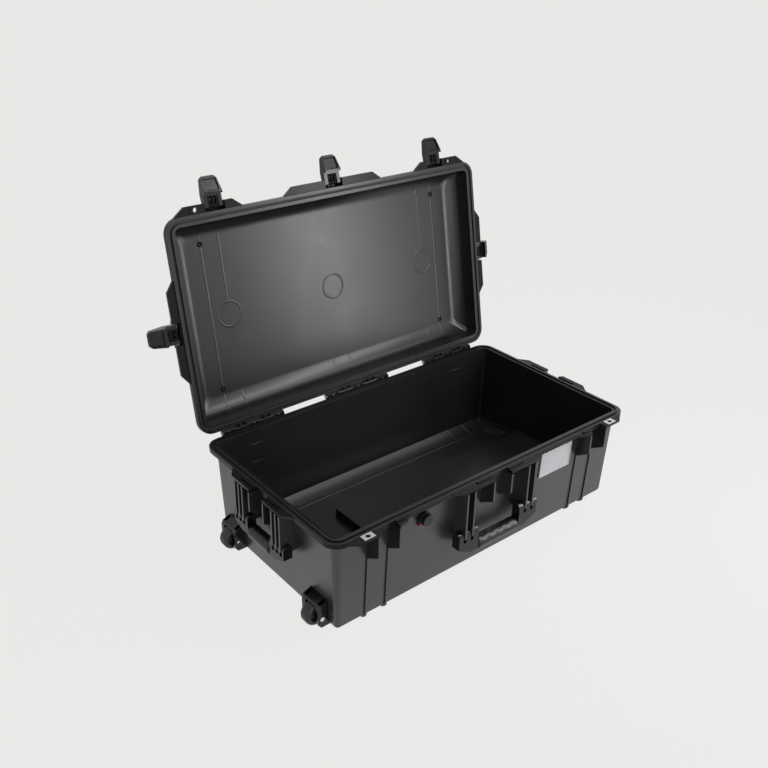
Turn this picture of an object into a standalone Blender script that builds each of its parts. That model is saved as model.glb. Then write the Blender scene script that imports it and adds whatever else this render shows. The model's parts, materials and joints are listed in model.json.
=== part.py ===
# Wheeled hard protective case, modelled with its lid standing open.
# Frame: +X along the length (wheels at -X, pull handle at +X), front latches at -Y,
# hinge at +Y, +Z up, origin at the centre of the underside. Metres.
import math

import bmesh
import bpy
from mathutils import Matrix, Vector

# Shell
RIM_LENGTH = 0.790
RIM_WIDTH = 0.437
RIM_HEIGHT = 0.207
RIM_CORNER_RADIUS = 0.031
FLANGE_OVERHANG = 0.015
FLANGE_THICKNESS = 0.010
WALL = 0.004
WALL_DRAFT = 0.008
BOTTOM_FILLET = 0.006
FLOOR_THICKNESS = 0.006
FLOOR_FILLET = 0.026
FOOT_HEIGHT = 0.008
FOOT_IN = 0.006
RIB_WIDTH = 0.004
RIB_DEPTH = 0.0026
RIB_FOOT = 0.004
RUNG_DROPS = (0.032, 0.074, 0.113)
RUNG_WIDTH = 0.003
CLEARANCE = 0.0003

# Rim joint between base and lid
TONGUE_INSET = 0.0075
TONGUE_WIDTH = 0.0035
TONGUE_HEIGHT = 0.0032
GROOVE_MARGIN = 0.0010
GROOVE_DEPTH = 0.0068
SEAL_THICKNESS = 0.0030

# Lid
LID_DEPTH = 0.051
LID_FLANGE_THICKNESS = 0.0108
LID_TOP_FILLET = 0.014
LID_INNER_FILLET = 0.030
LID_RIB_HEIGHT = 0.009
LID_OPEN_DEG = 100.2

# Protective bosses round the latches
BOSS_REACH = 0.0165
BOSS_THICKNESS = 0.005
BOSS_FLARE = 0.022
BOSS_GAP = 0.0028
PAD_HEIGHT = 0.0022
LATCH_GAP = 0.044
CENTRE_BOSS_HALF = 0.104
SIDE_BOSS_WIDTH = 0.017
CORNER_BOSS_WIDTH = 0.0445
END_BOSS_HALF = 0.083
LATCH_FROM_END = 0.112
GUSSET_WIDTH = 0.004
GUSSET_DROP = 0.041
GUSSET_FALL = 0.021

# Latches
LATCH_PIVOT_OUT = 0.0085
LATCH_PIVOT_RISE = 0.012
LATCH_WIDTH = 0.039
LATCH_TIP_WIDTH = 0.034
LATCH_LENGTH = 0.057
LATCH_OUTER = 0.009
LATCH_HOOK = 0.0130
LATCH_PIN_RADIUS = 0.0020
EAR_RADIUS = 0.0075
EAR_WIDTH = 0.004
LEVER_ROUND = 0.0062
HOOD_GAP = 0.0006
HOOD_THICKNESS = 0.003
TRIGGER_WIDTH = 0.025
TRIGGER_HEIGHT = 0.018
TRIGGER_LIP = 0.0018
TRIGGER_RECESS = 0.0030
LATCH_REST_DEG = {"front_left": 92.0, "front_centre": 92.0, "front_right": 92.0,
                  "wheel_end": 93.0, "trolley_end": 108.0}

# Hinge
HINGE_OUT = 0.0068
HINGE_RISE = 0.0012
KNUCKLE_RADIUS = 0.0062
HINGE_PIN_RADIUS = 0.0020
HINGE_CENTRE_LENGTH = 0.174
HINGE_SIDE_LENGTH = 0.149
HINGE_SIDE_FROM_END = 0.1215
KNUCKLES = 5

# Carry handles: half width, plate places, finger width, pivot height, arm length
HANDLE_DEPTH = 0.020
HANDLE_PIVOT_IN = 0.0125
HANDLE_PIN_RADIUS = 0.0025
TOWER_PLATE = 0.0042
FRONT_HANDLE_HALF = 0.1075
FRONT_HANDLE_PLATES = (0.0740, 0.0925)
FRONT_HANDLE_PIVOT_DROP = 0.106
FRONT_HANDLE_ARM = 0.046
FRONT_GRIP_HALF = 0.056
END_HANDLE_HALF = 0.0845
END_HANDLE_PLATES = (0.0500, 0.0628, 0.0756)
END_HANDLE_PIVOT_DROP = 0.082
END_HANDLE_ARM = 0.035
END_GRIP_HALF = 0.037
HANDLE_SLOT_GAP = 0.0018
HANDLE_BAR = 0.022
GRIP_DEPTH = 0.024

# Wheels
WHEEL_RADIUS = 0.024
WHEEL_WIDTH = 0.026
WHEEL_FROM_SIDE = 0.0745
WHEEL_IN = 0.0125
WHEEL_LIFT = 0.0004
TYRE_THICKNESS = 0.006
AXLE_RADIUS = 0.0030
WHEEL_GAP = 0.0015
CHEEK = 0.012
HOUSING_TOP = 0.054
HOUSING_REACH = 0.017
WELL_DEPTH = 0.018

# Pull handle under the floor
PLATFORM_START = 0.165
PLATFORM_HALF = 0.085
PLATFORM_TOP = 0.024
RAMP_START = 0.076
RAMP_TOP = 0.042
RAMP_HALF = 0.062
TROLLEY_TUBE_Y = 0.048
TROLLEY_TUBE_WIDTH = 0.014
TROLLEY_TUBE_HEIGHT = 0.009
GUIDE_WALL = 0.0012
TUBE_WALL = 0.0015
COVER_THICKNESS = 0.0025
TROLLEY_GRIP_DEPTH = 0.020
TROLLEY_BUTTON_WIDTH = 0.036
TROLLEY_BUTTON_HEIGHT = 0.008

# Fittings on the front wall
VALVE_FROM_LATCH = 0.105
VALVE_DROP = 0.037
VALVE_RADIUS = 0.0145
VALVE_STEM_RADIUS = 0.006
VALVE_CAP = 0.015
VALVE_SEAL = 0.0015
CARD_FROM_LATCH = 0.0945
CARD_DROP = 0.0525
CARD_WIDTH = 0.093
CARD_HEIGHT = 0.059
CARD_FRAME = 0.004
CARD_DEPTH = 0.003

# Padlock eyes
EYE_RADIUS = 0.0048
EYE_X_FROM_END = 0.069
PLATE_SIZE = 0.024
PLATE_THICKNESS = 0.0010
EYE_PAD_HEIGHT = 0.0010

CORNER_STEPS = 6
ROUND = 12
HALF_X = RIM_LENGTH / 2
HALF_Y = RIM_WIDTH / 2
UNDER = RIM_HEIGHT - FLANGE_THICKNESS
LATCH_X = HALF_X - LATCH_FROM_END
VALVE_X = VALVE_FROM_LATCH - LATCH_X
VALVE_Z = RIM_HEIGHT - VALVE_DROP
CARD_X = LATCH_X - CARD_FROM_LATCH
CARD_Z = RIM_HEIGHT - CARD_DROP
WHEEL_Y = HALF_Y - WHEEL_FROM_SIDE
FRONT_HANDLE_PIVOT_Z = RIM_HEIGHT - FRONT_HANDLE_PIVOT_DROP
END_HANDLE_PIVOT_Z = RIM_HEIGHT - END_HANDLE_PIVOT_DROP
LID_RIM = RIM_HEIGHT + CLEARANCE
LID_CEILING = RIM_HEIGHT + LID_DEPTH
LID_TOP = LID_CEILING + WALL
HINGE_Y = HALF_Y + HINGE_OUT
HINGE_Z = RIM_HEIGHT + HINGE_RISE
DRAFT_ANGLE = math.atan2(WALL_DRAFT, UNDER)

for old in list(bpy.data.objects):
    bpy.data.objects.remove(old, do_unlink=True)

case = bpy.data.collections.new("protective_case")
bpy.context.scene.collection.children.link(case)


def wall_inset(z):
    """Distance from the rim edge in to the outer wall face at height z."""
    return FLANGE_OVERHANG + WALL_DRAFT * (1 - z / UNDER)


def material(name, colour, roughness, metallic=0.0):
    finish = bpy.data.materials.new(name)
    finish.use_nodes = True
    shader = finish.node_tree.nodes["Principled BSDF"]
    shader.inputs["Base Color"].default_value = (*colour, 1.0)
    shader.inputs["Roughness"].default_value = roughness
    shader.inputs["Metallic"].default_value = metallic
    finish.diffuse_color = (*colour, 1.0)
    return finish


POLYMER = ((0.022, 0.022, 0.024), 0.48)
RUBBER = ((0.016, 0.016, 0.017), 0.6)
STEEL = ((0.62, 0.62, 0.61), 0.28, 1.0)
ALUMINIUM = ((0.70, 0.71, 0.72), 0.35, 1.0)
URETHANE = ((0.05, 0.05, 0.052), 0.55)
NYLON = ((0.10, 0.10, 0.105), 0.5)
RED_RUBBER = ((0.45, 0.02, 0.03), 0.5)
CLEAR_GREY = ((0.60, 0.61, 0.62), 0.3)
CARD = ((0.78, 0.78, 0.77), 0.8)


def mesh_object(name, bm):
    mesh = bpy.data.meshes.new(name)
    bm.to_mesh(mesh)
    bm.free()
    obj = bpy.data.objects.new(name, mesh)
    case.objects.link(obj)
    return obj


def box(low, high):
    size = [b - a for a, b in zip(low, high)]
    middle = [(a + b) / 2 for a, b in zip(low, high)]
    bm = bmesh.new()
    bmesh.ops.create_cube(bm, size=1.0, matrix=Matrix.Translation(middle) @ Matrix.Diagonal((*size, 1.0)))
    return mesh_object("box", bm)


def rod(start, end, radius, sides=ROUND, end_radius=None):
    start = Vector(start)
    end = Vector(end)
    turn = (end - start).to_track_quat("Z", "Y").to_matrix().to_4x4()
    bm = bmesh.new()
    bmesh.ops.create_cone(bm, cap_ends=True, segments=sides, radius1=radius,
                          radius2=radius if end_radius is None else end_radius, depth=(end - start).length,
                          matrix=Matrix.Translation((start + end) / 2) @ turn)
    return mesh_object("rod", bm)


def plate(outline, axis, low, high):
    """Flat outline extruded along an axis: X takes (y, z) points, Y takes (x, z), Z takes (x, y)."""
    curve = bpy.data.curves.new("outline", "CURVE")
    curve.dimensions = "2D"
    curve.fill_mode = "BOTH"
    curve.extrude = (high - low) / 2
    spline = curve.splines.new("POLY")
    spline.points.add(len(outline) - 1)
    for point, (a, b) in zip(spline.points, outline):
        point.co = (a, b, 0.0, 1.0)
    spline.use_cyclic_u = True
    guide = bpy.data.objects.new("outline", curve)
    case.objects.link(guide)
    turn = {"X": Matrix(((0, 0, 1), (1, 0, 0), (0, 1, 0))),
            "Y": Matrix(((1, 0, 0), (0, 0, 1), (0, 1, 0))),
            "Z": Matrix.Identity(3)}[axis].to_4x4()
    bpy.context.view_layer.update()
    mesh = bpy.data.meshes.new_from_object(guide.evaluated_get(bpy.context.evaluated_depsgraph_get()))
    bpy.data.objects.remove(guide, do_unlink=True)
    bm = bmesh.new()
    bm.from_mesh(mesh)
    bpy.data.meshes.remove(mesh)
    bmesh.ops.remove_doubles(bm, verts=bm.verts, dist=1e-6)
    shift = {"X": 0, "Y": 1, "Z": 2}[axis]
    offset = [0.0, 0.0, 0.0]
    offset[shift] = (low + high) / 2
    bmesh.ops.transform(bm, matrix=Matrix.Translation(offset) @ turn, verts=bm.verts)
    bmesh.ops.dissolve_limit(bm, angle_limit=0.01, verts=bm.verts, edges=bm.edges)
    bmesh.ops.recalc_face_normals(bm, faces=bm.faces)
    return mesh_object("plate", bm)


def hull(points):
    bm = bmesh.new()
    for point in points:
        bm.verts.new(point)
    bmesh.ops.convex_hull(bm, input=bm.verts)
    return mesh_object("hull", bm)


def boolean(target, tools, operation):
    group = bpy.data.collections.new("cutters")
    bpy.context.scene.collection.children.link(group)
    for tool in tools:
        case.objects.unlink(tool)
        group.objects.link(tool)
    step = target.modifiers.new(operation.lower(), "BOOLEAN")
    step.operation = operation
    step.solver = "EXACT"
    step.operand_type = "COLLECTION"
    step.collection = group
    bpy.context.view_layer.update()
    mesh = bpy.data.meshes.new_from_object(target.evaluated_get(bpy.context.evaluated_depsgraph_get()))
    target.modifiers.remove(step)
    target.data = mesh
    for tool in tools:
        bpy.data.objects.remove(tool, do_unlink=True)
    bpy.data.collections.remove(group)
    return target


def fuse(target, tools):
    return boolean(target, tools, "UNION")


def cut(target, tools):
    return boolean(target, tools, "DIFFERENCE")


def common(target, tools):
    return boolean(target, tools, "INTERSECT")


def arc(centre, radius, start, end, steps):
    turn = [math.radians(start + (end - start) * i / steps) for i in range(steps + 1)]
    return [(centre[0] + radius * math.cos(t), centre[1] + radius * math.sin(t)) for t in turn]


def rounded(inset, radius=None):
    """Plan outline of the case at a distance in from the rim edge, with concentric corners."""
    r = max(RIM_CORNER_RADIUS - inset, 0.004) if radius is None else radius
    x = HALF_X - inset - r
    y = HALF_Y - inset - r
    corners = ((x, y, 0), (-x, y, 90), (-x, -y, 180), (x, -y, 270))
    return [p for cx, cy, t in corners for p in arc((cx, cy), r, t, t + 90, CORNER_STEPS)]


def loft(rings, closed=False):
    """Skin through rings of (outline, z) with equal counts; open stacks are capped at both ends."""
    bm = bmesh.new()
    loops = [[bm.verts.new((x, y, z)) for x, y in outline] for outline, z in rings]
    count = len(loops[0])
    pairs = list(zip(loops, loops[1:] + loops[:1])) if closed else list(zip(loops, loops[1:]))
    for a, b in pairs:
        for i in range(count):
            j = (i + 1) % count
            bm.faces.new((a[i], a[j], b[j], b[i]))
    if not closed:
        bm.faces.new(loops[0])
        bm.faces.new(loops[-1])
    bmesh.ops.recalc_face_normals(bm, faces=bm.faces)
    return mesh_object("loft", bm)


def revolve(section, centre, sides):
    """Ring turned about a line along Y through centre, from (radius, along) points."""
    bm = bmesh.new()
    loops = [[bm.verts.new((centre[0] + r * math.cos(math.tau * k / sides), centre[1] + y,
                            centre[2] + r * math.sin(math.tau * k / sides))) for k in range(sides)] for r, y in section]
    for a, b in zip(loops, loops[1:] + loops[:1]):
        for k in range(sides):
            j = (k + 1) % sides
            bm.faces.new((a[k], a[j], b[j], b[k]))
    bmesh.ops.recalc_face_normals(bm, faces=bm.faces)
    return mesh_object("turned", bm)


def fillet(inset, z, radius, sides, up, inward):
    """Rings of a quarter round from a wall at inset to a flat at z."""
    rings = []
    for i in range(sides + 1):
        t = math.pi / 2 * i / sides
        rings.append((rounded(inset + inward * radius * (1 - math.cos(t))), z + up * radius * (1 - math.sin(t))))
    return rings


def turned(obj, degrees):
    """Turn a finished shape about the vertical through the case centre."""
    obj.data.transform(Matrix.Rotation(math.radians(degrees), 4, "Z"))
    return obj


nodes = {}


def part(name, obj, finish, parent=None):
    """Name a finished solid and hang it on its joint's empty, keeping its place."""
    obj.name = name
    obj.data.name = name
    obj.data.materials.clear()
    obj.data.materials.append(material(name, *finish))
    obj.data.shade_smooth()
    obj.data.set_sharp_from_angle(angle=math.radians(30))
    if parent is not None:
        obj.data.transform(Matrix.Translation(parent["at"]).inverted())
        obj.parent = parent["empty"]
    nodes[name] = obj
    return obj


def pivot(name, at, rotation=(0.0, 0.0, 0.0), parent=None):
    """Empty on a joint axis; shapes are built with the joint closed and turned by it."""
    empty = bpy.data.objects.new(name, None)
    case.objects.link(empty)
    empty.location = Vector(at) - (Vector(parent["at"]) if parent else Vector())
    empty.rotation_euler = rotation
    if parent:
        empty.parent = parent["empty"]
    return {"empty": empty, "at": Vector(at)}


# Boss outlines: one side of the case at a time, drawn along the front and turned to the ends
def boss_spans():
    """Front bosses as (start, end) of full reach, then whether each end flares back."""
    side_in = LATCH_X - LATCH_GAP / 2
    side_out = LATCH_X + LATCH_GAP / 2
    spans = []
    for sign in (-1, 1):
        spans.append((sign * LATCH_GAP / 2, sign * CENTRE_BOSS_HALF))
        spans.append((sign * side_in, sign * (side_in - SIDE_BOSS_WIDTH)))
        spans.append((sign * side_out, sign * (side_out + CORNER_BOSS_WIDTH)))
    return spans


def boss_plate(span, edge, z_low, z_high, root):
    """Boss standing out from the rim edge: square beside the latch, flared at its far end."""
    near, far = span
    flare = far + math.copysign(BOSS_FLARE, far - near)
    end = flare + (flare - far) * root / BOSS_REACH
    outline = [(near, -edge + root), (near, -edge - BOSS_REACH), (far, -edge - BOSS_REACH), (flare, -edge),
               (end, -edge + root)]
    return plate(outline, "Z", z_low, z_high)


def end_spans():
    return [(sign * LATCH_GAP / 2, sign * END_BOSS_HALF) for sign in (-1, 1)]


def edges():
    """Each side that carries latches: rim half depth, turn, latch places, boss spans."""
    return (
        (HALF_Y, 0.0, (-LATCH_X, 0.0, LATCH_X), boss_spans()),
        (HALF_X, -90.0, (0.0,), end_spans()),
        (HALF_X, 90.0, (0.0,), end_spans()),
    )


def wall_plate(x, width, edge, top, bottom, reach, embed=0.0022, nose=()):
    """Upright plate on the outer wall at x; its root follows the draft of the wall."""
    def face(z):
        return -edge + wall_inset(z)
    outline = [(face(top) + embed, top), (face(bottom) + embed, bottom), *nose, (reach(bottom), bottom),
               (reach(top), top)]
    return plate(outline, "X", x - width / 2, x + width / 2)


# Base shell
def base_tub():
    inner = wall_inset(RIM_HEIGHT) + WALL
    floor_inset = wall_inset(FLOOR_THICKNESS + FLOOR_FILLET) + WALL
    outer_low = wall_inset(BOTTOM_FILLET)
    tongue_out = TONGUE_INSET
    tongue_in = TONGUE_INSET + TONGUE_WIDTH
    rings = [(rounded(outer_low + BOTTOM_FILLET), 0.0),
             (rounded(outer_low + BOTTOM_FILLET * 0.3), BOTTOM_FILLET * 0.3),
             (rounded(outer_low), BOTTOM_FILLET),
             (rounded(FLANGE_OVERHANG), UNDER),
             (rounded(0.0), UNDER),
             (rounded(0.0), RIM_HEIGHT),
             (rounded(tongue_out), RIM_HEIGHT),
             (rounded(tongue_out), RIM_HEIGHT + TONGUE_HEIGHT),
             (rounded(tongue_in), RIM_HEIGHT + TONGUE_HEIGHT),
             (rounded(tongue_in), RIM_HEIGHT),
             (rounded(inner), RIM_HEIGHT)]
    rings += fillet(floor_inset, FLOOR_THICKNESS, FLOOR_FILLET, 6, 1, 1)
    return loft(rings)


def latch_gussets(edge, places, degrees):
    """Thin upright plates either side of each latch, falling towards the wall at their lower edge."""
    low = UNDER - GUSSET_DROP
    shapes = []
    for middle in places:
        for sign in (-1, 1):
            x = middle + sign * (LATCH_GAP + GUSSET_WIDTH) / 2
            outer = -edge - BOSS_REACH
            foot = low - GUSSET_FALL
            outline = [(-edge + wall_inset(UNDER) + 0.002, UNDER + 0.002),
                       (-edge + wall_inset(foot) + 0.002, foot),
                       (outer, low), (outer, UNDER + 0.002)]
            shapes.append(turned(plate(outline, "X", x - GUSSET_WIDTH / 2, x + GUSSET_WIDTH / 2), degrees))
    return shapes


def tower_plates(edge, places, pivot_z, degrees):
    """Deep plates that carry a handle's pin, rounded about the pivot at their lower end."""
    pivot_y = -edge - BOSS_REACH + HANDLE_PIVOT_IN
    radius = HANDLE_PIVOT_IN - 0.001
    shapes = []
    for place in places:
        for sign in (-1, 1):
            x = sign * place
            nose = arc((pivot_y, pivot_z), radius, 270, 180, 4)
            outline = [(-edge + wall_inset(UNDER) + 0.002, UNDER + 0.002),
                       (-edge + wall_inset(pivot_z - radius) + 0.002, pivot_z - radius), *nose,
                       (-edge - BOSS_REACH + 0.001, UNDER + 0.002)]
            shapes.append(turned(plate(outline, "X", x - TOWER_PLATE / 2, x + TOWER_PLATE / 2), degrees))
    return shapes


def wall_rib(x, edge, z_low, z_high, degrees):
    bend = BOTTOM_FILLET
    outline = [(-edge + wall_inset(z_high) + 0.002, z_high), (-edge + wall_inset(bend) + 0.002, bend),
               (-edge + wall_inset(bend) + bend + 0.004, z_low), (-edge + wall_inset(bend) + bend * 0.6 - RIB_DEPTH, z_low),
               (-edge + wall_inset(bend) - RIB_DEPTH, z_low + bend * 0.8), (-edge + wall_inset(z_high) - RIB_DEPTH, z_high)]
    return turned(plate(outline, "X", x - RIB_WIDTH / 2, x + RIB_WIDTH / 2), degrees)


def rib_places():
    return [sign * (LATCH_X + side * (LATCH_GAP + GUSSET_WIDTH) / 2) for sign in (-1, 1) for side in (-1, 1)]


def knuckle_spans():
    """Hinge groups as (centre, length) along X."""
    side = HALF_X - HINGE_SIDE_FROM_END
    return ((-side, HINGE_SIDE_LENGTH), (0.0, HINGE_CENTRE_LENGTH), (side, HINGE_SIDE_LENGTH))


def knuckles(parity, z_low, z_high, root_y):
    """Every second knuckle of each hinge group, with the web that roots it in a flange."""
    shapes = []
    for middle, length in knuckle_spans():
        step = length / KNUCKLES
        for i in range(parity, KNUCKLES, 2):
            x0 = middle - length / 2 + i * step + CLEARANCE
            x1 = x0 + step - 2 * CLEARANCE
            shapes.append(rod((x0, HINGE_Y, HINGE_Z), (x1, HINGE_Y, HINGE_Z), KNUCKLE_RADIUS))
            shapes.append(box((x0, root_y, z_low), (x1, HINGE_Y, z_high)))
    return shapes


def hinge_bores():
    return [rod((m - n / 2 - 0.002, HINGE_Y, HINGE_Z), (m + n / 2 + 0.002, HINGE_Y, HINGE_Z),
                HINGE_PIN_RADIUS + CLEARANCE) for m, n in knuckle_spans()]


def wheel_centre(sign):
    x = -HALF_X + wall_inset(WHEEL_RADIUS) - WHEEL_IN - CLEARANCE
    return Vector((x, sign * WHEEL_Y, WHEEL_RADIUS - FOOT_HEIGHT + WHEEL_LIFT))


def housing_span(sign):
    half = WHEEL_WIDTH / 2 + WHEEL_GAP + CHEEK
    return sorted((sign * (WHEEL_Y - half), sign * (WHEEL_Y + half)))


def well_box(sign, grow, start, bottom):
    """Block round a wheel housing, from a distance in from the wall foot."""
    low, high = housing_span(sign)
    wall = -HALF_X + wall_inset(0.0)
    return box((wall + start, low - grow, bottom), (wall + WELL_DEPTH + grow, high + grow, HOUSING_TOP + grow))


def eye_places():
    return [(sign * (HALF_X - EYE_X_FROM_END), -HALF_Y - BOSS_REACH / 2 + 0.0005) for sign in (-1, 1)]


def ramp(grow, reach, bottom):
    """Sloped housing over the pull handle's grip, inside the trolley end."""
    wall = HALF_X - wall_inset(RAMP_TOP)
    foot = HALF_X - wall_inset(0.0) + reach - WALL * 0.5
    start = wall - RAMP_START - grow
    half = RAMP_HALF + grow
    top = RAMP_TOP + grow
    low = PLATFORM_TOP + grow
    outline = ((start, bottom), (start, low), (wall - 0.018, top), (wall + reach, top), (foot, bottom))
    return hull([(x, y, z) for y in (-half, half) for x, z in outline])


def channel_half():
    return TROLLEY_TUBE_Y + TROLLEY_TUBE_WIDTH / 2 + GUIDE_WALL + 0.003


base = base_tub()
additions = []
for edge, degrees, places, spans in edges():
    for span in spans:
        additions.append(turned(boss_plate(span, edge, RIM_HEIGHT - BOSS_THICKNESS, RIM_HEIGHT - 0.0002, 0.006), degrees))
        near, far = span
        pad_far = near + math.copysign(min(abs(far - near), 0.040), far - near)
        pad_low = min(near, pad_far)
        pad = box((pad_low, -edge - BOSS_REACH * 0.45, RIM_HEIGHT - 0.002),
                  (max(near, pad_far), -edge - 0.0015, RIM_HEIGHT + PAD_HEIGHT))
        if abs(near) < LATCH_X:
            additions.append(turned(pad, degrees))
        else:
            bpy.data.objects.remove(pad, do_unlink=True)
    additions += latch_gussets(edge, places, degrees)
additions += tower_plates(HALF_Y, FRONT_HANDLE_PLATES, FRONT_HANDLE_PIVOT_Z, 0.0)
additions += tower_plates(HALF_X, END_HANDLE_PLATES, END_HANDLE_PIVOT_Z, -90.0)
for x in rib_places():
    additions.append(wall_rib(x, HALF_Y, -RIB_FOOT, UNDER - GUSSET_DROP, 0.0))
    additions.append(wall_rib(x, HALF_Y, -RIB_FOOT, UNDER + 0.002, 180.0))
    reach = HALF_Y - wall_inset(0.0) - FOOT_IN
    additions.append(box((x - RIB_WIDTH / 2, -reach, -FOOT_HEIGHT), (x + RIB_WIDTH / 2, reach, 0.002)))
for sign in (-1, 1):
    for drop in RUNG_DROPS:
        z = RIM_HEIGHT - drop
        y = HALF_Y - wall_inset(z)
        half = (LATCH_GAP + GUSSET_WIDTH) / 2
        additions.append(box((sign * LATCH_X - half, y - 0.002, z - RUNG_WIDTH / 2),
                             (sign * LATCH_X + half, y + RIB_DEPTH * 0.8, z + RUNG_WIDTH / 2)))
    additions.append(well_box(sign, WALL, WALL * 0.8, FLOOR_THICKNESS * 0.75))
additions.append(box((-PLATFORM_START, -PLATFORM_HALF, FLOOR_THICKNESS * 0.75),
                     (HALF_X - wall_inset(0.0) - WALL * 0.85, PLATFORM_HALF, PLATFORM_TOP)))
additions.append(ramp(0.0, -WALL * 0.5, FLOOR_THICKNESS * 0.8))
additions += knuckles(0, UNDER, RIM_HEIGHT - 0.0005, HALF_Y - 0.006)
fuse(base, additions)

channel_start = -PLATFORM_START + WALL
channel_end = HALF_X - wall_inset(RAMP_TOP) - RAMP_START
cuts = hinge_bores()
for sign in (-1, 1):
    cuts.append(well_box(sign, CLEARANCE, -0.05, -0.01))
    x, y = eye_places()[(sign + 1) // 2]
    cuts.append(rod((x, y, UNDER - 0.01), (x, y, RIM_HEIGHT + 0.01), EYE_RADIUS))
    for edge, degrees, plates, pivot_z in ((HALF_Y, 0.0, FRONT_HANDLE_PLATES, FRONT_HANDLE_PIVOT_Z),
                                           (HALF_X, -90.0, END_HANDLE_PLATES, END_HANDLE_PIVOT_Z)):
        pivot_y = -edge - BOSS_REACH + HANDLE_PIVOT_IN
        span = sorted((sign * (plates[0] - 0.01), sign * (plates[-1] + 0.01)))
        cuts.append(turned(rod((span[0], pivot_y, pivot_z), (span[1], pivot_y, pivot_z),
                               HANDLE_PIN_RADIUS + CLEARANCE), degrees))
cuts.append(box((channel_start, -channel_half(), -0.01), (channel_end + 0.02, channel_half(), PLATFORM_TOP - WALL)))
cuts.append(ramp(-WALL, 0.02, -0.02))
wall_at_valve = -HALF_Y + wall_inset(VALVE_Z)
cuts.append(rod((VALVE_X, wall_at_valve - 0.02, VALVE_Z), (VALVE_X, wall_at_valve + 0.02, VALVE_Z),
                VALVE_STEM_RADIUS + CLEARANCE))
cut(base, cuts)
part("base_shell", base, POLYMER)

# Hinge pins
for name, (middle, length) in zip(("left", "centre", "right"), knuckle_spans()):
    pin = rod((middle - length / 2, HINGE_Y, HINGE_Z), (middle + length / 2, HINGE_Y, HINGE_Z), HINGE_PIN_RADIUS)
    part(f"hinge_pin_{name}", pin, STEEL)

# Purge valve, square to the drafted wall
lean = Matrix.Translation((VALVE_X, wall_at_valve, VALVE_Z)) @ Matrix.Rotation(DRAFT_ANGLE, 4, "X")


def on_wall(obj, matrix):
    obj.data.transform(matrix)
    return obj


foot = rod((0, -VALVE_SEAL - 2 * CLEARANCE, 0), (0, -VALVE_SEAL - VALVE_CAP * 0.4, 0), VALVE_RADIUS, 20)
cap = rod((0, -VALVE_SEAL - VALVE_CAP * 0.3, 0), (0, -VALVE_SEAL - VALVE_CAP, 0), VALVE_RADIUS * 0.88, 20, VALVE_RADIUS * 0.8)
stem = rod((0, -VALVE_SEAL - VALVE_CAP / 2, 0), (0, WALL, 0), VALVE_STEM_RADIUS - CLEARANCE)
flutes = []
for k in range(8):
    turn = math.tau * (k + 0.5) / 8
    at = (VALVE_RADIUS * 0.95 * math.cos(turn), VALVE_RADIUS * 0.95 * math.sin(turn))
    flutes.append(rod((at[0], -VALVE_SEAL - VALVE_CAP * 0.42, at[1]), (at[0], -VALVE_SEAL - VALVE_CAP - 0.005, at[1]),
                      VALVE_RADIUS * 0.2, 8))
valve = cut(fuse(cap, [foot, stem]), flutes)
part("purge_valve_body", on_wall(valve, lean), POLYMER)
ring = rod((0, -VALVE_SEAL - CLEARANCE, 0), (0, -CLEARANCE, 0), VALVE_RADIUS * 1.05, 20)
part("purge_valve_seal", on_wall(cut(ring, [rod((0, -0.01, 0), (0, 0.01, 0), VALVE_STEM_RADIUS)]), lean), RED_RUBBER)

# Card holder on the front wall
card_wall = -HALF_Y + wall_inset(CARD_Z)
lean = Matrix.Translation((CARD_X, card_wall, CARD_Z)) @ Matrix.Rotation(DRAFT_ANGLE, 4, "X")
half_w = CARD_WIDTH / 2
half_h = CARD_HEIGHT / 2
holder = box((-half_w, -CARD_DEPTH, -half_h), (half_w, -CLEARANCE, half_h))
pocket = box((-half_w + CARD_FRAME, -CARD_DEPTH - 0.001, -half_h + CARD_FRAME),
             (half_w - CARD_FRAME, -CARD_DEPTH + 0.0014, half_h - CARD_FRAME))
part("card_holder", on_wall(cut(holder, [pocket]), lean), CLEAR_GREY)
insert = CARD_FRAME + CLEARANCE
card = box((-half_w + insert, -CARD_DEPTH + 0.0004, -half_h + insert),
           (half_w - insert, -CARD_DEPTH + 0.0014 - CLEARANCE, half_h - insert))
part("name_card", on_wall(card, lean), CARD)

# Padlock plates on the base bosses
for name, (x, y) in zip(("left", "right"), eye_places()):
    half = PLATE_SIZE / 2
    depth = BOSS_REACH / 2 - 0.0008
    plate_low = RIM_HEIGHT + 0.0002
    sheet = box((x - half, y - depth, plate_low), (x + half, y + depth, plate_low + PLATE_THICKNESS))
    eye = rod((x, y, plate_low - 0.01), (x, y, plate_low + 0.01), EYE_RADIUS)
    part(f"padlock_plate_base_{name}", cut(sheet, [eye]), STEEL)

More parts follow.
